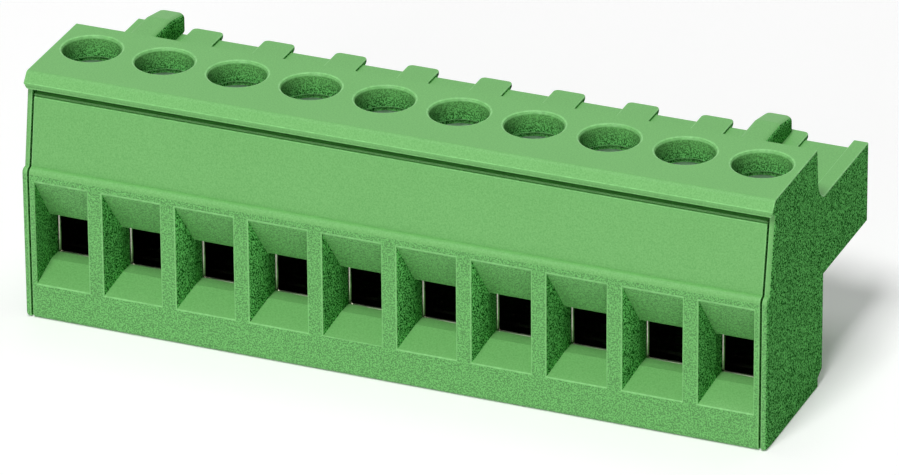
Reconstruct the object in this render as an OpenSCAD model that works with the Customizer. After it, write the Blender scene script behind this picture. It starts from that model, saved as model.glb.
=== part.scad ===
// Pluggable screw terminal block, millimetres.
// A moulded housing holds one rising clamp, one screw and one socket contact for each pole.
// A front cover with the wire funnels closes it, and its plug section pushes onto a pin header.
// Frame: X along the row of poles, -Y the wire side, +Y the plug side, Z up, base at z = 0.

/* [Poles] */
// Number of poles in the row
poles = 10; // [2:1:14]
// Distance from one pole to the next
pitch = 5.08; // [5:0.02:6.5]

/* [Wire entry] */
// Width of the wire hole at the foot of its funnel
wire_w = 3.24; // [2.6:0.02:3.4]
// Height of the wire hole
wire_h = 3.2; // [2.6:0.1:3.6]
// Height of the wire hole's floor above the base
wire_floor = 3.35; // [3.2:0.05:4]
// Width of the funnel at the front
funnel_w = 4.04; // [3.8:0.02:4.3]
// Height of the funnel's lower lip above the base
funnel_floor = 2.5; // [2:0.1:2.8]
// Height of the funnel's upper lip above the base
funnel_top = 9.8; // [8.6:0.1:10.5]
// Depth of the funnel
funnel_depth = 2.1; // [1.5:0.1:2.6]
// Length of the straight wire hole behind the funnel
throat = 1.2; // [0.8:0.1:1.8]
// Width of the cover beside the first and the last funnel
end_pillar = 0.38; // [0.25:0.01:0.6]

/* [Front cover] */
// Height of the flat band above the funnels
rib_band = 0.45; // [0.2:0.05:1]
// Radius of the round shoulder from the band to the foot of the blank panel
rib_r = 0.4; // [0.2:0.05:0.6]
// How far the foot of the blank panel stands back behind that round
panel_step = 0.05; // [0.02:0.01:0.2]
// How far the blank panel leans back over its height
panel_lean = 0.8; // [0.3:0.05:1]
// Wall of the cover round its hollows
cover_wall = 1.2; // [0.8:0.1:1.5]
// Width of the hollow behind each panel
hollow_w = 3.9; // [3:0.1:4.1]
// Height of the bead along the cover's top edge
bead_h = 0.1; // [0.05:0.01:0.3]
// Width of the groove under that bead
groove_h = 0.1; // [0.05:0.01:0.2]
// Depth of that groove
groove_depth = 0.16; // [0.05:0.01:0.3]
// Thickness of the tongue that hooks the cover under the top wall
tongue_t = 0.9; // [0.6:0.1:1]
// How far the tongue reaches up into the top wall
tongue_h = 0.3; // [0.15:0.05:0.4]
// Distance from the tongue to the cover's back
tongue_set = 0.5; // [0.3:0.05:0.6]
// Gap at each end of the cover, and all round its tongue
cover_gap = 0.12; // [0.05:0.01:0.15]
// Gap between the cover's back and the housing
seat_gap = 0.02; // [0.01:0.01:0.05]
// Open slit between the top lip and the cover
slit = 0.43; // [0.1:0.01:0.5]
// Poles from one snap hook to the next
hook_step = 3; // [1:1:5]
// Width of a snap hook
hook_w = 2; // [1:0.1:3]
// Thickness of a snap hook's arm
hook_t = 0.7; // [0.5:0.05:0.8]
// Reach of a snap hook behind the cover
hook_reach = 3; // [2:0.1:4]
// Height of the snap hook's nib
nib_h = 0.4; // [0.2:0.05:0.5]
// Length of that nib
nib_l = 0.9; // [0.6:0.05:1.2]
// Length of the nib's flat foot
nib_flat = 0.45; // [0.2:0.05:0.5]

/* [Housing] */
// Thickness of each end wall beside the cover
end_wall = 0.38; // [0.3:0.01:0.6]
// Thickness of the floor
floor_t = 1.4; // [1.2:0.05:1.5]
// Thickness of the wall behind the clamps
back_wall = 1.05; // [0.9:0.05:2]
// Thickness of the top wall over the screw heads
top_wall = 1.5; // [1.3:0.05:3]
// Thickness of the shelf under the screw heads
shelf_t = 1.2; // [0.8:0.05:2]
// Height of the bevel along the top front edge
brow_rise = 0.7; // [0.4:0.05:0.8]
// Depth of that bevel
brow_back = 0.45; // [0.2:0.05:0.7]
// Radius between that bevel and the top
brow_r = 0.3; // [0.1:0.05:0.5]
// Height of the upright edge under the bevel
lip_edge = 0.4; // [0.3:0.05:0.5]
// Height of the fine ridge along the top of that edge
ridge_h = 0.16; // [0.1:0.02:0.24]
// How far that ridge stands out
ridge_out = 0.05; // [0.02:0.01:0.1]
// How far the lip hangs over the top of the panel
lip_over = 0.5; // [0.2:0.05:0.9]
// How far the upper back stands in front of the lower back
shoulder = 1.25; // [0.8:0.05:1.3]
// How far the upper back leans forward
back_lean = 0.2; // [0:0.05:0.4]
// Radius of the hollow between the upper back and the plug section
root_r = 2; // [1:0.1:2.2]
// Depth of the step along the bottom back edge
heel_depth = 0.75; // [0.3:0.05:0.8]
// Height of that step
heel_h = 0.62; // [0.3:0.02:0.7]
// Further rise of the slope behind that step
heel_rise = 0.38; // [0.1:0.02:0.6]
// Radius of the bottom front edge
toe_r = 0.3; // [0.1:0.05:0.6]
// Width of the bevel round the rim of a screwdriver hole
rim = 0.12; // [0.05:0.01:0.3]

/* [Screws] */
// Diameter of a screwdriver hole
hole_d = 3.8; // [3.6:0.1:4.2]
// How far a screw head reaches under the rim that keeps it in
head_lap = 0.1; // [0.05:0.05:0.2]
// Height of a screw head
head_h = 1.85; // [1.3:0.05:2.2]
// Diameter of the screw thread
thread_d = 3; // [2.5:0.1:3.2]
// Width of the driver slot
slot_w = 0.8; // [0.5:0.05:1]
// Depth of the driver slot
slot_depth = 1; // [0.6:0.05:1.1]
// Bevel on the screw's edges
screw_bevel = 0.2; // [0.1:0.05:0.4]
// Gap over and under a screw head
head_gap = 0.15; // [0.05:0.05:0.3]

/* [Clamps] */
// Travel of a clamp from open to closed
clamp_travel = 3; // [2:0.1:3.2]
// Width of the opening in a clamp
window_w = 3; // [2.8:0.05:3.1]
// Thickness of a clamp's sides
clamp_side = 0.55; // [0.4:0.05:0.65]
// Thickness of a clamp's base
clamp_base = 0.7; // [0.5:0.05:0.9]
// Thickness of a clamp's threaded head
clamp_head = 1.5; // [1:0.1:2]
// Depth of a clamp along the wire
clamp_depth = 4.6; // [4:0.1:5.2]
// Radius of a clamp's outer corners
clamp_r = 0.5; // [0.2:0.05:0.6]
// Depth of the gripping grooves across a clamp's base
grip_depth = 0.2; // [0.1:0.05:0.3]
// Number of gripping grooves
grips = 3; // [1:1:5]
// Gap between a moving metal piece and what guides it
run_gap = 0.05; // [0.03:0.01:0.08]
// Gap in front of a clamp, over it when it is up, and over its opening when it is down
clamp_gap = 0.1; // [0.05:0.01:0.2]

/* [Contacts] */
// Width of the current bar
bar_w = 2.6; // [2:0.1:2.7]
// Thickness of the current bar
bar_t = 0.8; // [0.5:0.05:1]
// Thickness of the upright and of the spring leaves
leaf_t = 0.4; // [0.3:0.05:0.5]
// Height of the spring leaves
leaf_h = 2; // [1.4:0.1:2.4]
// Room behind a clamp for the upright
riser_room = 1.2; // [0.9:0.05:1.6]
// Half of the distance between the leaves at their root
leaf_root = 1.15; // [0.9:0.05:1.3]
// Half of the distance between the leaves where they grip
leaf_grip = 0.45; // [0.3:0.05:0.5]
// Half of the distance between the leaves at their flared mouth
leaf_mouth = 0.9; // [0.7:0.05:1.1]
// Length of the flared mouth
mouth_l = 1.3; // [0.8:0.1:2]

/* [Plug section] */
// Height of the plug section's underside above the base
plug_floor = 7.65; // [7:0.05:8]
// Height of the plug section
plug_h = 5.35; // [5:0.05:6]
// Reach of the plug section behind the lower back
plug_reach = 8.15; // [6.5:0.05:10]
// Wall over and under the contacts
plug_wall = 1.2; // [0.8:0.05:1.3]
// Width of the room for one contact
socket_w = 3.5; // [3.4:0.05:3.8]
// Thickness of the wall that the pins pass through
face_wall = 1.2; // [0.8:0.1:1.6]
// Width of the pin hole
pin_hole = 1.5; // [1.2:0.1:1.8]
// Width of the pin hole's funnel
pin_mouth = 2.5; // [2.2:0.1:3]
// Depth of that funnel
pin_bevel = 0.6; // [0.3:0.05:0.7]
// Width of a tab on the plug section
tab_w = 2.2; // [1.6:0.05:2.6]
// Height of a tab above the plug section
tab_h = 0.2; // [0.15:0.05:0.5]
// Distance from the housing's back to where the tabs leave the fillet
tab_set = 0.5; // [0.3:0.05:0.8]
// Reach of a tab past the plug section's back face
tab_reach = 0.75; // [0.4:0.05:1.2]
// Thickness of a tab at its tip
tab_tip = 0.2; // [0.15:0.05:0.5]
// Further thickness of a tab at its foot
tab_foot = 0.3; // [0.1:0.05:0.8]
// Radius of a tab's back corners
tab_r = 0.35; // [0.1:0.05:0.6]
// Thickness of the plug section's end cheeks
cheek = 1; // [0.8:0.05:1.3]

/* [Guide posts] */
// Width of a guide post
post_w = 1.9; // [1.4:0.05:2.2]
// Height of a guide post above the plug section
post_h = 1.65; // [1:0.05:1.8]
// Length of the slope at a guide post's back end
post_slope_l = 2.3; // [1:0.1:3]
// Fall of that slope
post_fall = 0.45; // [0.1:0.05:0.8]
// Radius of a guide post's back corners
post_r = 0.5; // [0.2:0.05:0.9]
// Distance from the left end to the first guide post's middle
post_left = 2.54; // [2.4:0.02:3]
// Distance from the right end to the last guide post's middle
post_right = 6; // [5:0.1:6.4]

/* [Hidden] */
function numbered(name, i) = str(name, i < 9 ? "_0" : "_", i + 1);

$fn = 48;
arc_steps = 6;
leaf_steps = 20;
cut = pitch / 100;
width = poles * pitch;
plastic = "#6fae69";
steel = "#c9ccce";
nickel = "#b9bbb4";
tin = "#d3d2cb";

// Levels from the base upwards
wire_top = wire_floor + wire_h;
bar_z = wire_top + clamp_gap;
bar_top = bar_z + bar_t;
window_floor = wire_floor - run_gap;
window_top = bar_top + clamp_gap;
clamp_z = window_floor - clamp_base;
clamp_top = window_top + clamp_head;
shelf_z = clamp_top + clamp_travel + clamp_gap;
shelf_top = shelf_z + shelf_t;
head_z = shelf_top + head_gap;
head_top = head_z + head_h;
ceiling = head_top + head_gap;
block_h = ceiling + top_wall;
brow_z = block_h - brow_rise;
lip_z = brow_z - lip_edge;
cover_top = lip_z - slit;
rib_z = funnel_top + rib_band;
panel_z = rib_z + rib_r;
plug_top = plug_floor + plug_h;
plug_mid = plug_floor + plug_h / 2;

// Places from the front backwards
cover_back = funnel_depth + throat;
clamp_y = cover_back + clamp_gap;
axis_y = clamp_y + clamp_depth / 2;
clamp_back = clamp_y + clamp_depth;
chamber_back = clamp_back + riser_room;
block_depth = chamber_back + back_wall;
back_y = block_depth - shoulder;
total_depth = block_depth + plug_reach;
face_y = total_depth - tab_reach;
panel_y = rib_r + panel_step;
panel_top_y = panel_y + panel_lean;
lip_y = panel_top_y - lip_over;
root_y = back_y + tab_set;
tongue_y = cover_back - seat_gap - tongue_set - tongue_t;

// Widths across one pole
clamp_w = window_w + 2 * clamp_side;
chamber_w = clamp_w + 2 * run_gap;
head_r = hole_d / 2 + head_lap;
head_room = head_r + run_gap;
shank_room = thread_d / 2 + run_gap;
cover_end = end_wall + cover_gap;

// Sets the front face at y = 0 back by half of the depth, so that the frame's origin is central.
module in_frame() {
    translate([0, -total_depth / 2, 0]) children();
}

// Repeats its children at the middle of pole i.
module pole(i) {
    translate([(i + 0.5) * pitch - width / 2, 0, 0]) children();
}

// Extrudes a side view, drawn as (y, z), along X from x0 to x1.
module side_view(x0, x1) {
    translate([x0, 0, 0]) rotate([90, 0, 90]) linear_extrude(x1 - x0) children();
}

// A block given by its lowest and highest corners.
module span(low, high) {
    translate(low) cube(high - low);
}

// A rectangle from 0 to size, with round corners made of true arcs.
module round_rect(size, r) {
    translate([r, 0]) square([size[0] - 2 * r, size[1]]);
    translate([0, r]) square([size[0], size[1] - 2 * r]);
    for (x = [r, size[0] - r], y = [r, size[1] - r]) translate([x, y]) circle(r);
}

// A four-sided funnel along Y: plan gives its two x edges, rise its two z edges, front then back.
module funnel(y0, y1, plan0, plan1, rise0, rise1) {
    low = min(rise0[0], rise1[0]) - cut;
    high = max(rise0[1], rise1[1]) + cut;
    intersection() {
        translate([0, 0, low]) linear_extrude(high - low)
            polygon([[plan0[0], y0], [plan0[1], y0], [plan1[1], y1], [plan1[0], y1]]);
        side_view(min(plan0[0], plan1[0]) - cut, max(plan0[1], plan1[1]) + cut)
            polygon([[y0, rise0[0]], [y1, rise1[0]], [y1, rise1[1]], [y0, rise0[1]]]);
    }
}

// Points of the rounded bottom front edge, from the base up to the front.
function toe() = [
    for (k = [0:arc_steps]) let (a = 90 * k / arc_steps)
        [toe_r - toe_r * sin(a), toe_r - toe_r * cos(a)]
];

// Points of the shoulder and the foot of the panel, from the front upwards and back.
function rib() = concat(
    [for (k = [0:arc_steps]) let (a = 90 * k / arc_steps) [rib_r - rib_r * cos(a), rib_z + rib_r * sin(a)]],
    [[panel_y, panel_z]]
);

// Points of the rounded top front edge, from the bevel up to the top.
function brow() =
    let (slope = atan2(brow_rise, brow_back))
    let (middle = [lip_y + brow_back + brow_r * tan(slope / 2), block_h - brow_r])
    [for (k = [arc_steps:-1:0]) let (a = slope * k / arc_steps) middle + brow_r * [-sin(a), cos(a)]];

// Side view of the housing's body, without its tabs, cheeks and posts.
module body_outline() {
    heel_y = block_depth - heel_depth;
    difference() {
        polygon(concat(
            toe(),
            rib(),
            [
                [panel_top_y, lip_z],
                [lip_y + ridge_out, lip_z],
                [lip_y + ridge_out, brow_z - ridge_h],
                [lip_y, brow_z - ridge_h],
                [lip_y, brow_z],
            ],
            brow(),
            [
                [back_y - back_lean, block_h],
                [back_y, plug_top + root_r],
                [back_y + root_r, plug_top + root_r],
                [back_y + root_r, plug_top],
                [face_y, plug_top],
                [face_y, plug_floor],
                [block_depth, plug_floor],
                [block_depth, heel_h + heel_rise],
                [heel_y, heel_h],
                [heel_y, 0],
            ]
        ));
        translate([back_y + root_r, plug_top + root_r]) circle(root_r);
    }
}

// Side view of a tab: a thin flat with its underside sloping up to the tip.
module tab_outline() {
    foot_z = plug_top + tab_h - tab_tip - tab_foot;
    polygon([
        [root_y, foot_z],
        [face_y, foot_z],
        [total_depth, plug_top + tab_h - tab_tip],
        [total_depth, plug_top + tab_h],
        [root_y, plug_top + tab_h],
    ]);
}

// A tab centred on x, with its two back corners rounded.
module tab(x) {
    intersection() {
        side_view(x - tab_w / 2, x + tab_w / 2) tab_outline();
        translate([x - tab_w / 2, 0, 0]) linear_extrude(block_h) round_rect([tab_w, total_depth], tab_r);
    }
}

// A guide post centred on x, from the upper back to the plug section's end.
module post(x) {
    top = plug_top + post_h;
    intersection() {
        side_view(x - post_w / 2, x + post_w / 2)
            polygon([
                [back_y - back_lean, plug_top - tab_h],
                [face_y - tab_reach, plug_top - tab_h],
                [total_depth, plug_top + tab_h - tab_tip],
                [total_depth, top - post_fall],
                [total_depth - post_slope_l, top],
                [back_y - back_lean, top],
            ]);
        translate([x - post_w / 2, 0, 0]) linear_extrude(block_h) round_rect([post_w, total_depth], post_r);
    }
}

// A round room from z0 to z1 on a screw's axis, open towards the front so that the screw slides in.
module screw_slot(r, z0, z1) {
    span([-r, cover_back - cut, z0], [r, axis_y, z1]);
    translate([0, axis_y, z0]) cylinder(r = r, h = z1 - z0);
}

// The room for one pole: clamp chamber, slot in the shelf, screw head chamber, screwdriver hole and socket.
module pole_room() {
    span([-chamber_w / 2, cover_back - cut, floor_t], [chamber_w / 2, chamber_back, shelf_z]);
    screw_slot(shank_room, shelf_z - cut, shelf_top + cut);
    screw_slot(head_room, shelf_top, ceiling);
    translate([0, axis_y, ceiling - cut]) cylinder(d = hole_d, h = top_wall + 2 * cut);
    translate([0, axis_y, block_h - rim]) cylinder(d1 = hole_d, d2 = hole_d + 2 * rim + 2 * cut, h = rim + cut);
    span([-socket_w / 2, chamber_back - cut, plug_floor + plug_wall],
         [socket_w / 2, face_y - face_wall, plug_top - plug_wall]);
    span([-pin_hole / 2, face_y - face_wall - cut, plug_mid - pin_hole / 2],
         [pin_hole / 2, face_y, plug_mid + pin_hole / 2]);
    funnel(face_y - pin_bevel, face_y + cut,
           [-pin_hole / 2, pin_hole / 2], [-pin_mouth / 2, pin_mouth / 2],
           [plug_mid - pin_hole / 2, plug_mid + pin_hole / 2],
           [plug_mid - pin_mouth / 2, plug_mid + pin_mouth / 2]);
}

// True where pole i carries a snap hook.
function hooked(i) = i % hook_step == 0;

module housing() {
    color(plastic) in_frame() difference() {
        union() {
            side_view(-width / 2, width / 2) body_outline();
            for (k = [1:poles - 1]) tab(k * pitch - width / 2);
            for (x = [-width / 2, width / 2 - cheek])
                span([x, face_y - face_wall, plug_floor], [x + cheek, total_depth, plug_top]);
            for (x = [-width / 2, width / 2 - cheek])
                span([x, root_y, plug_top - tab_h], [x + cheek, total_depth, plug_top + tab_h]);
            post(post_left - width / 2);
            post(width / 2 - post_right);
        }
        span([end_wall - width / 2, -cut, -cut], [width / 2 - end_wall, cover_back, lip_z]);
        span([end_wall - width / 2, tongue_y - cover_gap, lip_z - cut],
             [width / 2 - end_wall, tongue_y + tongue_t + cover_gap, lip_z + tongue_h + cover_gap]);
        for (i = [0:poles - 1]) pole(i) pole_room();
        for (i = [0:poles - 1]) if (hooked(i)) pole(i)
            span([-hook_w / 2 - cover_gap, cover_back + hook_reach - nib_l - cover_gap, floor_t - nib_h - cover_gap],
                 [hook_w / 2 + cover_gap, cover_back + hook_reach + cover_gap, floor_t + cut]);
    }
}

// Side view of the cover's solid, with its bead, groove and tongue.
module cover_outline() {
    back = cover_back - seat_gap;
    lean = panel_lean / (lip_z - panel_z);
    bead_z = cover_top - bead_h;
    bead_y = panel_top_y - lean * (slit + bead_h);
    polygon(concat(
        toe(),
        rib(),
        [
            [bead_y - lean * groove_h, bead_z - groove_h],
            [bead_y + groove_depth, bead_z - groove_h],
            [bead_y + groove_depth, bead_z],
            [bead_y, bead_z],
            [panel_top_y - lean * slit, cover_top],
            [tongue_y, cover_top],
            [tongue_y, lip_z + tongue_h],
            [tongue_y + tongue_t, lip_z + tongue_h],
            [tongue_y + tongue_t, cover_top],
            [back, cover_top],
            [back, 0],
        ]
    ));
}

// Side view of the hollow behind one panel, a wall's thickness clear of the funnel and the panel.
module hollow_outline() {
    run = [funnel_depth, wire_top - funnel_top] / norm([funnel_depth, wire_top - funnel_top]);
    // A point one wall above the funnel's roof, from which the hollow's lower front edge runs.
    above = [-run[1], run[0]] * cover_wall + [0, funnel_top];
    front = panel_y + cover_wall;
    base = wire_top + cover_wall;
    polygon([
        [cover_back, base],
        [above[0] + (base - above[1]) * run[0] / run[1], base],
        [front, above[1] + (front - above[0]) * run[1] / run[0]],
        [front, panel_z],
        [panel_top_y + cover_wall, cover_top - cover_wall],
        [cover_back, cover_top - cover_wall],
    ]);
}

// Left and right edges of an opening of width w in pole i: the end ones leave the end pillar standing.
function cover_plan(i, w) = [
    i == 0 ? max(cover_end + end_pillar - pitch / 2, -w / 2) : -w / 2,
    i == poles - 1 ? min(pitch / 2 - cover_end - end_pillar, w / 2) : w / 2,
];

module front_cover() {
    color(plastic) in_frame() {
        difference() {
            side_view(cover_end - width / 2, width / 2 - cover_end) cover_outline();
            for (i = [0:poles - 1]) pole(i) {
                funnel(0, funnel_depth, cover_plan(i, funnel_w), [-wire_w / 2, wire_w / 2],
                       [funnel_floor, funnel_top], [wire_floor, wire_top]);
                span([-wire_w / 2, funnel_depth - cut, wire_floor], [wire_w / 2, cover_back, wire_top]);
                side_view(cover_plan(i, hollow_w)[0], cover_plan(i, hollow_w)[1]) hollow_outline();
            }
        }
        for (i = [0:poles - 1]) if (hooked(i)) pole(i) snap_hook();
    }
}

// A springy arm over the housing's floor, with a nib that drops into a pocket there.
module snap_hook() {
    low = floor_t + cover_gap;
    tip = cover_back + hook_reach;
    side_view(-hook_w / 2, hook_w / 2)
        polygon([
            [cover_back - seat_gap - cut, low],
            [tip - nib_l, low],
            [tip - nib_l, low - cover_gap - nib_h],
            [tip - nib_l + nib_flat, low - cover_gap - nib_h],
            [tip, low],
            [tip, low + hook_t],
            [cover_back - seat_gap - cut, low + hook_t],
        ]);
}

module screw(i) {
    shank = thread_d / 2 - run_gap;
    tip = bar_top + run_gap;
    color(steel) in_frame() pole(i) translate([0, axis_y, 0]) difference() {
        rotate_extrude() polygon([
            [0, tip],
            [shank - screw_bevel, tip],
            [shank, tip + screw_bevel],
            [shank, head_z],
            [head_r - screw_bevel, head_z],
            [head_r, head_z + screw_bevel],
            [head_r, head_top - screw_bevel],
            [head_r - screw_bevel, head_top],
            [0, head_top],
        ]);
        span([-head_r - cut, -slot_w / 2, head_top - slot_depth], [head_r + cut, slot_w / 2, head_top + cut]);
    }
}

module clamp(i) {
    grip_pitch = clamp_depth / (grips + 1);
    color(nickel) in_frame() pole(i) difference() {
        translate([-clamp_w / 2, clamp_back, clamp_z]) rotate([90, 0, 0])
            linear_extrude(clamp_depth) round_rect([clamp_w, clamp_top - clamp_z], clamp_r);
        span([-window_w / 2, clamp_y - cut, window_floor], [window_w / 2, clamp_back + cut, window_top]);
        translate([0, axis_y, window_top - cut]) cylinder(d = thread_d, h = clamp_head + 2 * cut);
        for (g = [1:grips]) translate([0, clamp_y + g * grip_pitch, window_floor]) rotate([45, 0, 0])
            span([-window_w / 2, -grip_depth / sqrt(2), -grip_depth / sqrt(2)],
                 [window_w / 2, grip_depth / sqrt(2), grip_depth / sqrt(2)]);
    }
}

// Inner half-gap of the spring leaves at distance s along them, from their root to their mouth.
function leaf_x(s, length) = s < length - mouth_l
    ? leaf_grip + (leaf_root - leaf_grip) * (1 + cos(180 * s / (length - mouth_l))) / 2
    : leaf_grip + (leaf_mouth - leaf_grip) * (1 - cos(90 * (s - length + mouth_l) / mouth_l));

// Plan of the right-hand spring leaf: its inner line out, and its outer line back.
module leaf_plan(y0, y1) {
    length = y1 - y0;
    steps = [for (k = [0:leaf_steps]) k * length / leaf_steps];
    polygon(concat(
        [for (s = steps) [leaf_x(s, length), y0 + s]],
        [for (k = [leaf_steps:-1:0]) [leaf_x(steps[k], length) + leaf_t, y0 + steps[k]]]
    ));
}

module contact(i) {
    riser_back = chamber_back - run_gap;
    riser_w = 2 * (leaf_root + leaf_t);
    leaf_z = plug_mid - leaf_h / 2;
    color(tin) in_frame() pole(i) {
        span([-bar_w / 2, clamp_y, bar_z], [bar_w / 2, riser_back, bar_top]);
        span([-riser_w / 2, riser_back - leaf_t, bar_z], [riser_w / 2, riser_back, leaf_z + leaf_h]);
        for (side = [0, 1]) mirror([side, 0, 0]) translate([0, 0, leaf_z]) linear_extrude(leaf_h)
            leaf_plan(riser_back - leaf_t, face_y - face_wall - clamp_gap);
    }
}

housing();
front_cover();
for (i = [0:poles - 1]) {
    screw(i);
    clamp(i);
    contact(i);
}
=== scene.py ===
# %% [markdown]
# # A pluggable terminal block, dressed for its portrait
#
# The real thing is a ten-pole screw plug: a green moulded housing, a front cover with ten wire
# funnels, and in every pole a screw, a rising clamp and a contact with two spring leaves.
# The CAD model already holds all of these at their real size. This script gives them their
# finish: rounded edges, grain, plating, screw threads, and the light and the camera.

# %% Load the frame
import math

import bmesh
import bpy
import numpy as np
from mathutils import Matrix, Vector


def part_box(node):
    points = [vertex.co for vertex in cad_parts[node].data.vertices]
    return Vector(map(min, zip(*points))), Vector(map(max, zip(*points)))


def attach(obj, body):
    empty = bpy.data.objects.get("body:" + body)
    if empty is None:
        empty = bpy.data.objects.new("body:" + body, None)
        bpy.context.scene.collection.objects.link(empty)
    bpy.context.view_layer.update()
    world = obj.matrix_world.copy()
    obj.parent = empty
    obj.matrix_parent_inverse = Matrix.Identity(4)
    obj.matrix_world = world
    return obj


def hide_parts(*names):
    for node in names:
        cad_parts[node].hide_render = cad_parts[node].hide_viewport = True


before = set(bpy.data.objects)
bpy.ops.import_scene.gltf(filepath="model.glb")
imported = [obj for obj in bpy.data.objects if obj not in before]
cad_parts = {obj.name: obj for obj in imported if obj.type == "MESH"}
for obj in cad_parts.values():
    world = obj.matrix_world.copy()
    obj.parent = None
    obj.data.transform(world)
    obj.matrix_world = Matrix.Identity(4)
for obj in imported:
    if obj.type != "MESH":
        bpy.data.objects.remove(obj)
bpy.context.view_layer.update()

MM = 0.001
POLES = sum(name.startswith("screw_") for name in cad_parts)

# %% [markdown]
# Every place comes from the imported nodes, so nothing is typed in twice. The housing gives the
# outside, the cover gives the front wall, and the first screw gives the axis of the first pole.

# %% Measure the nodes
SAME = 0.001 * MM  # places closer than this are one


def node_box(node):
    """Lowest and highest corner of a CAD node, as numpy arrays in metres."""
    low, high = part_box(node)
    return np.array(low), np.array(high)


BLOCK_LOW, BLOCK_HIGH = node_box("housing")
COVER_HIGH = node_box("front_cover")[1]
CENTRES = [0.5 * sum(node_box(f"screw_{i:02d}")) for i in range(1, POLES + 1)]
HEAD_TOP = node_box("screw_01")[1][2]
PITCH = CENTRES[1][0] - CENTRES[0][0]


def points_of(mesh):
    """The vertices of a mesh as rows of a numpy array."""
    points = np.empty(3 * len(mesh.vertices))
    mesh.vertices.foreach_get("co", points)
    return points.reshape(-1, 3)


def front_top(node):
    """Height of the highest vertex that lies in a CAD node's front plane, in metres."""
    points = points_of(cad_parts[node].data)
    return points[points[:, 1] < points[:, 1].min() + SAME, 2].max()


RIB_Z = front_top("front_cover")
print(f"pitch {PITCH / MM:.2f} mm, block {np.round((BLOCK_HIGH - BLOCK_LOW) / MM, 2)} mm")

# %% [markdown]
# The camera stands to the right of the plug's front and above it, far away, with a long lens,
# so that the long edges stay almost parallel. Its axes are worked out from an azimuth and an
# elevation about a target inside the plug, and a small roll levels the view. The target is
# set a little off the optical axis by moving the camera sideways, which needs no lens shift.

# %% Place the camera
AZIMUTH = math.radians(22.47)
ELEVATION = math.radians(26.56)
ROLL = math.radians(0.42)
DISTANCE = 528.4 * MM
SIDESTEP = 1.94 * MM
TARGET = Vector((0.0, -4.2 * MM, 8.0 * MM))
LENS_MM = 333.4
SENSOR_MM = 36.0
NEAREST = 10 * MM


def camera_axes(azimuth, elevation, roll):
    """Right, up and back axes of a camera that looks at the front from an angle, then rolls."""
    back = Vector((math.sin(azimuth) * math.cos(elevation),
                   -math.cos(azimuth) * math.cos(elevation), math.sin(elevation)))
    right = Vector((math.cos(azimuth), math.sin(azimuth), 0.0))
    up = back.cross(right)
    turned_right = right * math.cos(roll) - up * math.sin(roll)
    turned_up = right * math.sin(roll) + up * math.cos(roll)
    return turned_right, turned_up, back


right, up, back = camera_axes(AZIMUTH, ELEVATION, ROLL)
place = TARGET + right * SIDESTEP + back * DISTANCE
lens = bpy.data.cameras.new("portrait_lens")
lens.lens = LENS_MM
lens.sensor_width = SENSOR_MM
lens.clip_start = NEAREST
camera = bpy.data.objects.new("portrait_camera", lens)
camera.matrix_world = Matrix((
    (right.x, up.x, back.x, place.x),
    (right.y, up.y, back.y, place.y),
    (right.z, up.z, back.z, place.z),
    (0.0, 0.0, 0.0, 1.0)))
bpy.context.scene.collection.objects.link(camera)
bpy.context.scene.camera = camera
bpy.context.scene.view_settings.view_transform = "Standard"
print(f"camera at {tuple(round(v, 4) for v in place)} m, lens {lens.lens:.1f} mm")

# %% [markdown]
# Colours are written as the hex values that a designer would pick on a screen. Blender's
# shaders work with linear light, so one function undoes the screen's curve. A second small
# function adds a node with its settings and links, and every material below is built with it.

# %% Colour and node helpers
def linear(colour):
    """Linear RGBA of an sRGB hex colour: each channel c becomes ((c + 0.055) / 1.055) ** 2.4."""
    channels = [int(colour[k:k + 2], 16) / 255 for k in (1, 3, 5)]
    return [c / 12.92 if c <= 0.04045 else ((c + 0.055) / 1.055) ** 2.4 for c in channels] + [1.0]


def add_node(tree, kind, links=(), **settings):
    """Adds a node: settings name its properties, or its sockets when they start with i_,
    and each link is (this node's input, the other node, the other node's output)."""
    node = tree.nodes.new(kind)
    for name, value in settings.items():
        if name.startswith("i_"):
            node.inputs[name[2:].replace("_", " ")].default_value = value
        else:
            setattr(node, name, value)
    for own, other, output in links:
        tree.links.new(other.outputs[output], node.inputs[own])
    return node


def new_material(name):
    """An empty node material and its tree, with an output node named Out."""
    material = bpy.data.materials.new(name)
    material.use_nodes = True
    material.node_tree.nodes.clear()
    out = material.node_tree.nodes.new("ShaderNodeOutputMaterial")
    out.name = "Out"
    return material, material.node_tree


def per_metre(size_mm):
    """Noise scale whose features are about size_mm across, for coordinates in metres."""
    return 1.0 / (size_mm * MM)


print("helpers ready; mid grey is", round(linear("#808080")[0], 3))

# %% [markdown]
# The housing and the cover are moulded polyamide in signal green. The mould was spark-eroded,
# which leaves a matt grain that the eye reads as speckle where light rakes across it. The top
# and the panel are eroded finely. The flanks, the funnels and the lower front are coarser and
# free of gloss, and their darker, deeper colour is painted shade. A real grain is about
# 0.05 mm; it is drawn at 0.095 mm so that it shows at this distance. Slow drifts of colour come
# from the melt's flow.

# %% Moulded polyamide
GRAIN_MM = 0.095
FLOW_MM = 6.0


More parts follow.
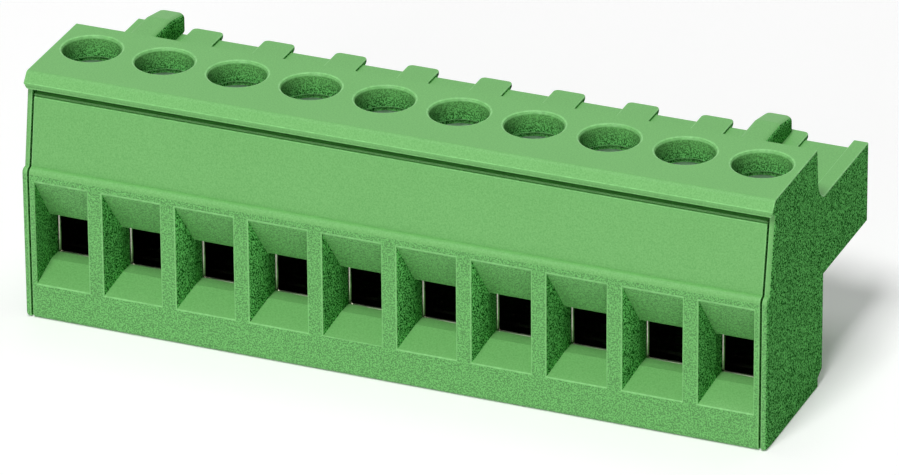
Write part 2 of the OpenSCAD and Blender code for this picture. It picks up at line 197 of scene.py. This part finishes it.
def moulded_polyamide(name, gloss_level):
    """Green PA 66: IOR 1.53, satin, with a grain in colour, roughness and bump. A number on each
    face corner mixes a fine grain at 0 with a coarse one at 1, which is painted darker as painted
    shade."""
    material, tree = new_material(name)
    place = add_node(tree, "ShaderNodeTexCoord")
    grain = add_node(tree, "ShaderNodeTexNoise", [("Vector", place, "Object")],
                     i_Scale=per_metre(GRAIN_MM), i_Detail=2.0, i_Roughness=0.6)
    flow = add_node(tree, "ShaderNodeTexNoise", [("Vector", place, "Object")],
                    i_Scale=per_metre(FLOW_MM), i_Detail=3.0)
    grain_and_shade = add_node(tree, "ShaderNodeAttribute", attribute_name="grain_and_shade")
    fine = add_node(tree, "ShaderNodeValToRGB", [("Fac", grain, "Fac")])
    fine.color_ramp.elements[0].position = 0.36
    fine.color_ramp.elements[0].color = linear("#6aae60")
    fine.color_ramp.elements[1].position = 0.64
    fine.color_ramp.elements[1].color = linear("#7bbd6f")
    # The coarse ramp is darker than the fine one: painted shade, besides its coarser grain.
    coarse_and_shaded = add_node(tree, "ShaderNodeValToRGB", [("Fac", grain, "Fac")])
    coarse_and_shaded.color_ramp.elements[0].position = 0.45
    coarse_and_shaded.color_ramp.elements[0].color = linear("#08480f")
    coarse_and_shaded.color_ramp.elements[1].position = 0.55
    coarse_and_shaded.color_ramp.elements[1].color = linear("#73d06d")
    speckle_and_shade = add_node(tree, "ShaderNodeMix", [("Factor", grain_and_shade, "Fac"), ("A", fine, "Color"),
                                               ("B", coarse_and_shaded, "Color")], data_type="RGBA")
    drift = add_node(tree, "ShaderNodeMix", [("Factor", flow, "Fac"), ("A", speckle_and_shade, "Result")],
                     data_type="RGBA", blend_type="MULTIPLY")
    drift.inputs["B"].default_value = linear("#f4f8f2")
    gloss = add_node(tree, "ShaderNodeMapRange", [("Value", grain, "Fac")])
    gloss.inputs["To Min"].default_value = 0.42
    gloss.inputs["To Max"].default_value = 0.6
    relief = add_node(tree, "ShaderNodeBump", [("Height", grain, "Fac")],
                      i_Strength=0.35, i_Distance=0.02 * MM)
    shader = add_node(tree, "ShaderNodeBsdfPrincipled",
                      [("Roughness", gloss, "Result"), ("Normal", relief, "Normal")],
                      i_IOR=1.53, i_Specular_IOR_Level=gloss_level)
    tree.links.new(drift.outputs["Result"], shader.inputs["Base Color"])
    tree.links.new(shader.outputs["BSDF"], tree.nodes["Out"].inputs["Surface"])
    return material


def edge_highlight_polyamide():
    """The same polyamide on the narrow edge rounds, a little paler and glossier: a painted
    highlight.
    """
    material, tree = new_material("green_polyamide_painted_edge_highlight")
    place = add_node(tree, "ShaderNodeTexCoord")
    highlight_noise = add_node(tree, "ShaderNodeTexNoise", [("Vector", place, "Object")],
                    i_Scale=per_metre(3 * GRAIN_MM), i_Detail=2.0)
    tone = add_node(tree, "ShaderNodeValToRGB", [("Fac", highlight_noise, "Fac")])
    tone.color_ramp.elements[0].position = 0.35
    tone.color_ramp.elements[0].color = linear("#76bd6b")
    tone.color_ramp.elements[1].position = 0.65
    tone.color_ramp.elements[1].color = linear("#86cf7b")
    shader = add_node(tree, "ShaderNodeBsdfPrincipled", [("Base Color", tone, "Color")],
                      i_Roughness=0.4, i_IOR=1.53)
    tree.links.new(shader.outputs["BSDF"], tree.nodes["Out"].inputs["Surface"])
    return material


FINE = moulded_polyamide("green_polyamide_satin_with_painted_shade", 0.35)
MATT_SHADED = moulded_polyamide("green_polyamide_matt_with_painted_shade", 0.0)
EDGE_HIGHLIGHT = edge_highlight_polyamide()
print("made", FINE.name, MATT_SHADED.name, EDGE_HIGHLIGHT.name)

# %% [markdown]
# The metals are three platings. Screws are steel with satin zinc, turned and rolled. Clamps are
# steel with nickel, a little yellow and tumbled smooth. Contacts are a copper alloy with matt
# tin. Each has metallic 1, keeps the default IOR, and differs in colour, in roughness and in
# the marks that its making leaves. Where a face attribute is 1, deep inside a clamp or down a
# screw's slot, the colour is painted near black as painted shade for the hollow.

# %% Plated metals
def plated_metal(name, light, dark, rough, mark_mm, stretch, relief_mm):
    """A plating on stamped or turned metal: noise of size mark_mm, stretched along one axis,
    drives the colour between dark and light, the roughness about rough, and a shallow bump."""
    material, tree = new_material(name)
    place = add_node(tree, "ShaderNodeTexCoord")
    along = add_node(tree, "ShaderNodeMapping", [("Vector", place, "Object")], i_Scale=stretch)
    marks = add_node(tree, "ShaderNodeTexNoise", [("Vector", along, "Vector")],
                     i_Scale=per_metre(mark_mm), i_Detail=3.0, i_Roughness=0.55)
    tone = add_node(tree, "ShaderNodeValToRGB", [("Fac", marks, "Fac")])
    tone.color_ramp.elements[0].position = 0.3
    tone.color_ramp.elements[0].color = linear(dark)
    tone.color_ramp.elements[1].position = 0.7
    tone.color_ramp.elements[1].color = linear(light)
    polish = add_node(tree, "ShaderNodeMapRange", [("Value", marks, "Fac")])
    polish.inputs["To Min"].default_value = rough - 0.08
    polish.inputs["To Max"].default_value = rough + 0.08
    relief = add_node(tree, "ShaderNodeBump", [("Height", marks, "Fac")],
                      i_Strength=0.3, i_Distance=relief_mm * MM)
    # Faces marked 1 take a near-black colour: painted shade in the hollows.
    painted_dark = add_node(tree, "ShaderNodeAttribute", attribute_name="painted_dark")
    shade_mix = add_node(tree, "ShaderNodeMix", [("Factor", painted_dark, "Fac"), ("A", tone, "Color")],
                    data_type="RGBA")
    shade_mix.inputs["B"].default_value = linear("#2e2b27")
    shader = add_node(tree, "ShaderNodeBsdfPrincipled",
                      [("Base Color", shade_mix, "Result"), ("Roughness", polish, "Result"),
                       ("Normal", relief, "Normal")], i_Metallic=1.0)
    tree.links.new(shader.outputs["BSDF"], tree.nodes["Out"].inputs["Surface"])
    return material


ZINC = plated_metal("zinc_plated_turned_steel", "#dde0e3", "#c2c7cb", 0.38, 0.2, (1, 1, 4), 0.01)
NICKEL = plated_metal("nickel_plated_stamped_steel", "#dcd8cd", "#bfbbae", 0.2, 0.3, (1, 1, 1),
                      0.01)
TIN = plated_metal("matt_tinned_copper_alloy", "#dedcd5", "#c8c6be", 0.42, 0.4, (4, 1, 1), 0.01)
print("made", ZINC.name, NICKEL.name, TIN.name)

# %% [markdown]
# The CAD solids are sharp and made of loose triangles. Each moulding, clamp and screw is
# copied, and the copy takes over from its solid, which stays in the frame for collisions. In
# the copy the doubled points are welded and flat regions are merged into single faces, because
# a round has to know which faces really meet at an edge.

# %% Copy the mouldings
FLAT = math.radians(0.5)
WELD = 1e-7  # metres; points closer than this become one


def welded_copy(node, name):
    """A copy of a CAD node's mesh with its doubled points merged and flat faces joined."""
    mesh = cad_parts[node].data.copy()
    mesh.name = name
    piece = bpy.data.objects.new(name, mesh)
    bpy.context.scene.collection.objects.link(piece)
    bm = bmesh.new()
    bm.from_mesh(mesh)
    bmesh.ops.remove_doubles(bm, verts=bm.verts, dist=WELD)
    bmesh.ops.dissolve_limit(bm, angle_limit=FLAT, verts=bm.verts, edges=bm.edges)
    bm.to_mesh(mesh)
    bm.free()
    return piece


def dressed(node, body, materials):
    """A copy of a CAD node in its own finishes, which stands in for the node."""
    piece = welded_copy(node, f"{node}_skin")
    piece.data.materials.clear()
    for material in materials:
        piece.data.materials.append(material)
    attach(piece, body)
    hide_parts(node)
    return piece


housing_skin, cover_skin = [dressed(node, "block", (FINE, MATT_SHADED))
                            for node in ("housing", "front_cover")]
print("the housing's", len(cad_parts["housing"].data.polygons), "triangles became",
      len(housing_skin.data.polygons), "faces")

# %% [markdown]
# The crowns of the guide posts lead the plug into its socket, and the upright front corners
# get handled, so both are rounded widely. These few edges are picked by where they lie and
# rounded in the mesh itself, so that the finer rounds which follow can go along their borders.

# %% Round the posts and the front corners
POST_ROUND = 0.35 * MM
CORNER_ROUND = 0.2 * MM
CROWN = 0.55 * MM  # a post's crown ends this far below its top
PLUG_Y = 2 * MM  # only the plug section and its posts lie further back
POST_FOOT_Y = -0.3 * MM  # the posts spring from the block just behind here
CORNER_DEPTH = 1.3 * MM  # the front corners lie within this of the front
ROUND_STEPS = 4
BENT = math.radians(20)


def round_edges(mesh, chosen, radius):
    """Rounds the edges of a mesh whose ends and middle all lie where chosen(points) is true."""
    points = points_of(mesh)
    bm = bmesh.new()
    bm.from_mesh(mesh)
    ends = np.array([[v.index for v in edge.verts] for edge in bm.edges])
    inside = chosen(points)[ends].all(1) & chosen(points[ends].mean(1))
    edges = [e for e in bm.edges if inside[e.index]
             and e.is_convex and e.calc_face_angle(0.0) > BENT]
    bmesh.ops.bevel(bm, geom=edges, offset=radius, segments=ROUND_STEPS, profile=0.5,
                    affect="EDGES")
    bm.to_mesh(mesh)
    bm.free()
    return len(edges)


behind = points_of(housing_skin.data)
behind = behind[behind[:, 1] > PLUG_Y]
POST_TOP = behind[:, 2].max()
crowns = behind[behind[:, 2] > POST_TOP - CROWN, 0]
POSTS = [(side.min(), side.max()) for side in (crowns[crowns < 0], crowns[crowns > 0])]
print("guide posts from and to x =", np.round(np.array(POSTS) / MM, 2).tolist(), "mm")


def on_post_crown(points):
    """True for the points of the two guide posts near the height of their tops, which are the
    highest points well behind the block."""
    post = [(points[:, 0] > low - SAME) & (points[:, 0] < high + SAME) for low, high in POSTS]
    near_top = np.abs(points[:, 2] - POST_TOP) < CROWN
    return (post[0] | post[1]) & (points[:, 1] > POST_FOOT_Y) & near_top


def on_front_corner(points):
    """True for the points of the upright front edges at the two ends, up to the cover's top."""
    end = np.abs(points[:, 0]) > BLOCK_HIGH[0] - SAME
    return end & (points[:, 1] < BLOCK_LOW[1] + CORNER_DEPTH) & (points[:, 2] < COVER_HIGH[2])


rounded = round_edges(housing_skin.data, on_post_crown, POST_ROUND)
rounded += round_edges(housing_skin.data, on_front_corner, CORNER_ROUND)
print(rounded, "edges rounded widely")

# %% [markdown]
# The mould's grain isn't the same everywhere. A number on each face corner says how coarse it
# is and how much painted shade darkens it, which lets one material run from fine to coarse
# without a visible border. The flanks, the walls behind the front and the lower front are
# painted darker as painted shade, and down a screwdriver hole the colour grows darker towards
# the head. Faces that are mostly coarse take the second material, without gloss.

# %% Mark the grain
# Amounts of coarse grain and painted shade, from 0 for fine and lit to 1 for coarse and dark:
LOW_FRONT = 0.42  # the front below the shoulder
CORED = 0.6  # the walls behind the front
RIM = 0.2  # the upper end of a screwdriver hole's wall
FRONT_WALL = 2 * MM  # cored walls lie further than this behind the front
HOLE_REACH = PITCH / 2.2  # a screwdriver hole lies within this of its screw's axis


def faces_of(mesh):
    """The normals and the centres of a mesh's faces, as rows of two numpy arrays."""
    normal = np.empty(3 * len(mesh.polygons))
    centre = np.empty(3 * len(mesh.polygons))
    mesh.polygons.foreach_get("normal", normal)
    mesh.polygons.foreach_get("center", centre)
    return normal.reshape(-1, 3), centre.reshape(-1, 3)


def mark_grain_and_shade(mesh):
    """Stores on each face corner how coarse its grain is and how much painted shade darkens it,
    from 0 for fine and lit to 1 for coarse and dark, and gives the coarse faces the second
    material, which has no gloss.

    Flanks (|n.x| > 0.7 for the face's normal n) are 1, cored walls behind the front are CORED,
    and the front below the shoulder is LOW_FRONT. In a screwdriver hole, which is what lies
    within HOLE_REACH of a screw's axis and above its head, it falls from 1 at the head to RIM
    at the rim: a painted shade that darkens towards the bottom."""
    normal, centre = faces_of(mesh)
    totals = np.empty(len(mesh.polygons), dtype=np.int32)
    corners = np.empty(len(mesh.loops), dtype=np.int32)
    mesh.polygons.foreach_get("loop_total", totals)
    mesh.loops.foreach_get("vertex_index", corners)
    height = points_of(mesh)[corners, 2]
    flank = np.abs(normal[:, 0]) > 0.7
    front = (normal[:, 1] < -0.5) & (centre[:, 2] < RIB_Z)
    upright = np.abs(normal[:, 2]) < 0.3
    cored = upright & (centre[:, 1] > BLOCK_LOW[1] + FRONT_WALL)
    coarse_and_shaded = np.select([flank, cored, front], [1.0, CORED, LOW_FRONT], 0.0)
    axes = np.array([[axis[0], axis[1]] for axis in CENTRES])
    reach = np.linalg.norm(centre[:, None, :2] - axes[None], axis=2).min(1)
    hole = (np.abs(normal[:, 2]) < 0.95) & (reach < HOLE_REACH) & (centre[:, 2] > HEAD_TOP)
    depth = np.clip((BLOCK_HIGH[2] - height) / (BLOCK_HIGH[2] - HEAD_TOP), 0, 1)
    value = np.where(np.repeat(hole, totals), RIM + (1 - RIM) * depth, np.repeat(coarse_and_shaded, totals))
    mesh.polygons.foreach_set("material_index", (hole | (coarse_and_shaded > 0.5)).astype(np.int32))
    layer = mesh.attributes.new("grain_and_shade", "FLOAT", "CORNER")
    layer.data.foreach_set("value", value.astype(np.float32))


for skin in (housing_skin, cover_skin):
    mark_grain_and_shade(skin.data)
print("grain marked on", len(housing_skin.data.loops) + len(cover_skin.data.loops), "corners")

# %% [markdown]
# A mould can't have razor edges: its cutter and years of use leave a radius of a few
# hundredths of a millimetre, and that thin round catches the light as a bright line. A Bevel
# modifier makes it on every outer edge that has a weight, and an edge has one only where there
# is room, since rounds that meet across a narrow strip would fold the mesh. The narrow new
# faces are painted a little paler, as a painted highlight along the edges.

# %% Round the other outer edges
EDGE_ROUND = 0.07 * MM
SHARP = math.radians(30)
LONG_EDGE = 1.0 * MM
ROOM = 2.2  # a round needs this many times its radius
MIDDLE = (0.01, 0.99)  # an edge without its very ends, as shares of its length


def goes_on(edge, vertex):
    """True if another sharp edge carries this edge's line on through the vertex."""
    out = (edge.other_vert(vertex).co - vertex.co).normalized()
    return any(other is not edge and other.calc_face_angle(0.0) > SHARP
               and out.dot((other.other_vert(vertex).co - vertex.co).normalized()) < -0.8
               for other in vertex.link_edges)


def face_reach(edge, face):
    """How far the face reaches from the line of one of its edges, and the least distance from
    that line to the parts of its other edges that run beside the edge."""
    start = edge.verts[0].co
    length = edge.calc_length()
    along = (edge.verts[1].co - start) / length
    furthest = max((v.co - start).cross(along).length for v in face.verts)
    nearest = furthest
    for other in face.edges:
        if other is edge or set(other.verts) & set(edge.verts):
            continue
        a, b = [v.co - start for v in other.verts]
        ends = (a.dot(along), b.dot(along))
        if max(ends) < MIDDLE[0] * length or min(ends) > MIDDLE[1] * length:
            continue
        span = ends[1] - ends[0]
        cuts = [(k * length - ends[0]) / span for k in MIDDLE] if span else [0.0, 1.0]
        parts = [a.lerp(b, min(max(cut, 0.0), 1.0)) for cut in cuts]
        nearest = min(nearest, *(part.cross(along).length for part in parts))
    return furthest, nearest


def weigh_edges(mesh, radius):
    """Gives bevel weight 1 to each sharp outer edge that has room for a round, and counts them.

    There is room if both faces reach more than ROOM radii away from the edge's line, if nothing
    runs beside a long edge within about a radius, and if a short edge is part of a longer
    smooth line."""
    bm = bmesh.new()
    bm.from_mesh(mesh)
    weight = bm.edges.layers.float.new("bevel_weight_edge")
    chosen = 0
    for edge in bm.edges:
        if edge.calc_face_angle(0.0) < SHARP or not edge.is_convex:
            continue
        if edge.calc_length() < ROOM * radius and not all(goes_on(edge, v) for v in edge.verts):
            continue
        furthest, nearest = np.min([face_reach(edge, face) for face in edge.link_faces], axis=0)
        clear = edge.calc_length() < LONG_EDGE or nearest > 0.95 * radius
        edge[weight] = float(clear and furthest > ROOM * radius)
        chosen += int(edge[weight])
    bm.to_mesh(mesh)
    bm.free()
    return chosen


def soften(piece, radius, edge_material=None):
    """Rounds the sharp edges of a finished piece with a weighted Bevel modifier, and gives the
    new narrow faces a material of their own if there is one."""
    chosen = weigh_edges(piece.data, radius)
    rounds = piece.modifiers.new("rounds", "BEVEL")
    if edge_material:
        rounds.material = len(piece.data.materials)
        piece.data.materials.append(edge_material)
    rounds.width = radius
    rounds.segments = 2
    rounds.limit_method = "WEIGHT"
    rounds.use_clamp_overlap = False
    rounds.harden_normals = True
    return chosen


softened = sum(soften(skin, EDGE_ROUND, EDGE_HIGHLIGHT) for skin in (housing_skin, cover_skin))
print(softened, "edges rounded by", EDGE_ROUND / MM, "mm")

# %% [markdown]
# A clamp is a cage stamped from thick steel strip and tumbled with its plating, so the edges at
# its front end up round and bright. So its front is rounded as the posts are, and an attribute
# marks the faces that are hidden inside, which are painted dark as painted shade.

# %% Round and plate the clamps
SHELL_SKIN = 0.16 * MM
CAGE_ROUND = 0.15 * MM


def on_cage_front(points):
    """True for the points in the front plane of a clamp."""
    return points[:, 1] < points[:, 1].min() + SAME


def in_cage(centre, normal, low, high):
    """True for a clamp's faces inside its outline in X and Z and behind its rounded front."""
    margin = np.minimum(centre - low, high - centre)
    deep = centre[:, 1] > low[1] + CAGE_ROUND
    return (margin[:, (0, 2)].min(1) > SHELL_SKIN) & deep & (np.abs(normal[:, 1]) < 0.9)


def mark_painted_dark(mesh, hidden):
    """Stores 1 on each face where hidden(centre, normal, low corner, high corner) holds, else 0.
    Faces with 1 are painted dark, as painted shade.
    """
    normal, centre = faces_of(mesh)
    points = points_of(mesh)
    value = hidden(centre, normal, points.min(0), points.max(0))
    layer = mesh.attributes.new("painted_dark", "FLOAT", "FACE")
    layer.data.foreach_set("value", value.astype(np.float32))
    return int(value.sum())


for i in range(1, POLES + 1):
    cage = dressed(f"clamp_{i:02d}", f"clamp_{i:02d}", (NICKEL,))
    round_edges(cage.data, on_cage_front, CAGE_ROUND)
    hidden = mark_painted_dark(cage.data, in_cage)
print("rounded and plated", POLES, "clamps, with", hidden, "faces hidden in each")

# %% [markdown]
# A screw's head is turned and its slot is sawn, and the faces down in the slot are painted dark
# as painted shade. Its edges are rounded as the mouldings' are. The CAD shank is a plain
# cylinder at the radius of the thread's crest, so it is turned down to the core here, to make
# room for the thread.

# %% Turn and plate the screws
CORE = 0.83  # radius of the thread's core, as a share of the crest's
HEAD_SHARE = 0.8  # only the head has points beyond this share of its radius
SLOT_TOP, SLOT_FLOOR = 0.05 * MM, 1.5 * MM  # the slot lies between these depths in the head


def in_slot(centre, normal, low, high):
    """True for a screw's faces just under its top and well inside its rim."""
    radius = np.hypot(*(centre - 0.5 * (low + high))[:, :2].T)
    under = high[2] - centre[:, 2]
    rim = HEAD_SHARE * 0.5 * (high - low)[0]
    return (radius < rim) & (under > SLOT_TOP) & (under < SLOT_FLOOR)


def shank_of(mesh):
    """Axis, radius, foot and top of a screw's shank, which is what lies under its wide head."""
    points = points_of(mesh)
    axis = 0.5 * (points.min(0) + points.max(0))[:2]
    radius = np.linalg.norm(points[:, :2] - axis, axis=1)
    head_z = points[radius > HEAD_SHARE * radius.max(), 2].min()
    shank = points[:, 2] < head_z - 0.1 * MM
    shank_r = radius[shank].max()
    return axis, shank_r, points[shank & (radius > shank_r - SAME), 2].min(), head_z


def narrow_shank(mesh):
    """Turns the plain shank down to the core of the thread: r becomes r * CORE below the head."""
    axis, shank_r, _, head_z = shank_of(mesh)
    points = points_of(mesh)
    radius = np.linalg.norm(points[:, :2] - axis, axis=1)
    shank = (points[:, 2] < head_z + SAME) & (radius < shank_r + SAME)
    points[shank, :2] = axis + CORE * (points[shank, :2] - axis)
    mesh.vertices.foreach_set("co", points.ravel())
    mesh.update()


for i in range(1, POLES + 1):
    screw = dressed(f"screw_{i:02d}", f"screw_{i:02d}", (ZINC,))
    narrow_shank(screw.data)
    hidden = mark_painted_dark(screw.data, in_slot)
    soften(screw, EDGE_ROUND)
print("turned and plated", POLES, "screws, with", hidden, "faces hidden in each slot")

# %% [markdown]
# Contacts keep their CAD shape, which is right: tinned strip is blanked and bent, and its edges
# stay crisp. They take their plating through the material slots that they came with.

# %% Plate the contacts
for i in range(1, POLES + 1):
    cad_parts[f"contact_{i:02d}"].material_slots[0].material = TIN
print("plated", POLES, "contacts")

# %% [markdown]
# A clamping screw's thread is rolled: hardened dies press a helical groove into the shank, and
# the metal that they push aside forms the ridge. So a ridge of triangular section winds round
# the core as a surface of its own. It rides on the screw, stays inside the clamp's bore, and
# dives into the core at both ends, where a real thread runs out. The pitch is the distance
# that the screw's coupling raises the clamp in one turn.

# %% Roll the threads
THREAD_PITCH = 0.5 * MM
RIDGE_HALF = 0.2 * MM
RIDGE_SINK = 0.02 * MM  # the ridge's feet lie this far inside the core
STEPS_A_TURN = 32


def thread_ridge(core_r, crest_r, z0, z1):
    """Vertices and quads of a helical ridge between two heights.

    At angle t the ridge's middle is at height z0 + pitch * t / (2 pi). Three points make its
    section: the foot under the crest, the crest, and the foot over it. The crest's radius falls
    to the core's over the last quarter turn at each end."""
    turns = (z1 - z0 - 2 * RIDGE_HALF) / THREAD_PITCH
    count = int(turns * STEPS_A_TURN) + 1
    angle = 2 * np.pi * turns * np.linspace(0, 1, count)
    middle = z0 + RIDGE_HALF + THREAD_PITCH * angle / (2 * np.pi)
    fade = np.clip(np.minimum(angle, angle[-1] - angle) / (np.pi / 2), 0, 1)
    foot = np.full(count, core_r - RIDGE_SINK)
    crest = foot + (crest_r - foot) * fade
    rows = [np.stack([r * np.cos(angle), r * np.sin(angle), middle + rise], axis=1)
            for r, rise in ((foot, -RIDGE_HALF), (crest, 0.0), (foot, RIDGE_HALF))]
    points = np.stack(rows, axis=1).reshape(-1, 3)
    step = 3 * np.arange(count - 1)
    quads = [np.stack([step + k, step + k + 3, step + k + 4, step + k + 1], axis=1)
             for k in (0, 1)]
    quads.append(np.stack([step + 2, step + 5, step + 3, step], axis=1))
    return points, np.concatenate(quads)


_, shank_r, shank_low, shank_high = shank_of(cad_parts["screw_01"].data)
ridge_points, ridge_quads = thread_ridge(CORE * shank_r, shank_r, shank_low, shank_high)
for i in range(1, POLES + 1):
    centre = CENTRES[i - 1]
    mesh = bpy.data.meshes.new(f"thread_{i:02d}")
    mesh.from_pydata(ridge_points + (centre[0], centre[1], 0.0), [], ridge_quads.tolist())
    mesh.materials.append(ZINC)
    thread = bpy.data.objects.new(f"thread_{i:02d}", mesh)
    bpy.context.scene.collection.objects.link(thread)
    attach(thread, f"screw_{i:02d}")
print(f"shank radius {shank_r / MM:.2f} mm from {shank_low / MM:.2f} to {shank_high / MM:.2f} mm,",
      len(ridge_quads), "quads a thread")

# %% [markdown]
# The plug lies on a pale sweep of paper. The world beyond it is white to the camera, to mirror
# rays and to rays through clear material, and nearly dark to every other ray, so that it adds
# almost no light. A faint glow that only those rays see brings the paper itself to white, and
# the paper keeps its soft shadow.

# %% Floor and background
PAPER_HALF = 2.0
PAPER_Z = BLOCK_LOW[2] - 0.01 * MM
PAPER_GLOW = 0.13
FILL = 0.04
WHITE = linear("#ffffff")


def seen_directly(tree):
    """A 0 or 1 that is 1 for camera rays, mirror rays and rays through clear material."""
    rays = add_node(tree, "ShaderNodeLightPath")
    first = add_node(tree, "ShaderNodeMath",
                     [(0, rays, "Is Camera Ray"), (1, rays, "Is Glossy Ray")], operation="MAXIMUM")
    return add_node(tree, "ShaderNodeMath",
                    [(0, first, "Value"), (1, rays, "Is Transmission Ray")], operation="MAXIMUM")


def pale_floor():
    """A square floor just under the plug, with a plain pale matt finish."""
    mesh = bpy.data.meshes.new("paper")
    corners = [(-PAPER_HALF, -PAPER_HALF), (PAPER_HALF, -PAPER_HALF),
               (PAPER_HALF, PAPER_HALF), (-PAPER_HALF, PAPER_HALF)]
    mesh.from_pydata([(x, y, PAPER_Z) for x, y in corners], [], [(0, 1, 2, 3)])
    floor = bpy.data.objects.new("paper", mesh)
    bpy.context.scene.collection.objects.link(floor)
    material, tree = new_material("matt_white_paper")
    shown = seen_directly(tree)
    glow = add_node(tree, "ShaderNodeMath", [(0, shown, "Value")], operation="MULTIPLY")
    glow.inputs[1].default_value = PAPER_GLOW
    shader = add_node(tree, "ShaderNodeBsdfPrincipled", [("Emission Strength", glow, "Value")],
                      i_Roughness=0.9)
    shader.inputs["Base Color"].default_value = linear("#fcfcfc")
    shader.inputs["Emission Color"].default_value = WHITE
    tree.links.new(shader.outputs["BSDF"], tree.nodes["Out"].inputs["Surface"])
    mesh.materials.append(material)


pale_floor()
world = bpy.data.worlds.new("studio")
bpy.context.scene.world = world
world.use_nodes = True
world.node_tree.nodes.clear()
shown = seen_directly(world.node_tree)
fill = add_node(world.node_tree, "ShaderNodeBackground", i_Color=WHITE, i_Strength=FILL)
white = add_node(world.node_tree, "ShaderNodeBackground", i_Color=WHITE, i_Strength=1.0)
choose = add_node(world.node_tree, "ShaderNodeMixShader",
                  [("Fac", shown, "Value"), (1, fill, "Background"), (2, white, "Background")])
add_node(world.node_tree, "ShaderNodeOutputWorld", [("Surface", choose, "Shader")])
print("floor and world ready")

# %% [markdown]
# Three soft lamps light it, all on the plug's middle plane. The key stands high in front, so its
# shadow falls straight back and the far end of the block stays dark. A wide lamp overhead opens
# that shadow and the funnels, and a low one in front lifts the leaning panel.

# %% Lamps
LAMP_DISTANCE = 1.5
LAMPS = {  # direction from the plug, side in metres, power in watts
    "key": ((0.0, -0.5, 0.87), 0.45, 16.0),
    "overhead": ((0.0, 0.15, 1.0), 0.9, 5.4),
    "front": ((0.0, -0.97, 0.25), 0.6, 3.2),
}


def soft_lamp(name, direction, side, power):
    """A square area lamp that stands off along direction from the target and faces it."""
    data = bpy.data.lights.new(name, "AREA")
    data.size = side
    data.energy = power
    lamp = bpy.data.objects.new(name, data)
    way = Vector(direction).normalized()
    turn = way.to_track_quat("Z", "Y").to_matrix().to_4x4()
    lamp.matrix_world = Matrix.Translation(TARGET + way * LAMP_DISTANCE) @ turn
    bpy.context.scene.collection.objects.link(lamp)


for name, (direction, side, power) in LAMPS.items():
    soft_lamp(name, direction, side, power)
print(len(LAMPS), "soft lamps of", sum(power for _, _, power in LAMPS.values()), "W together")
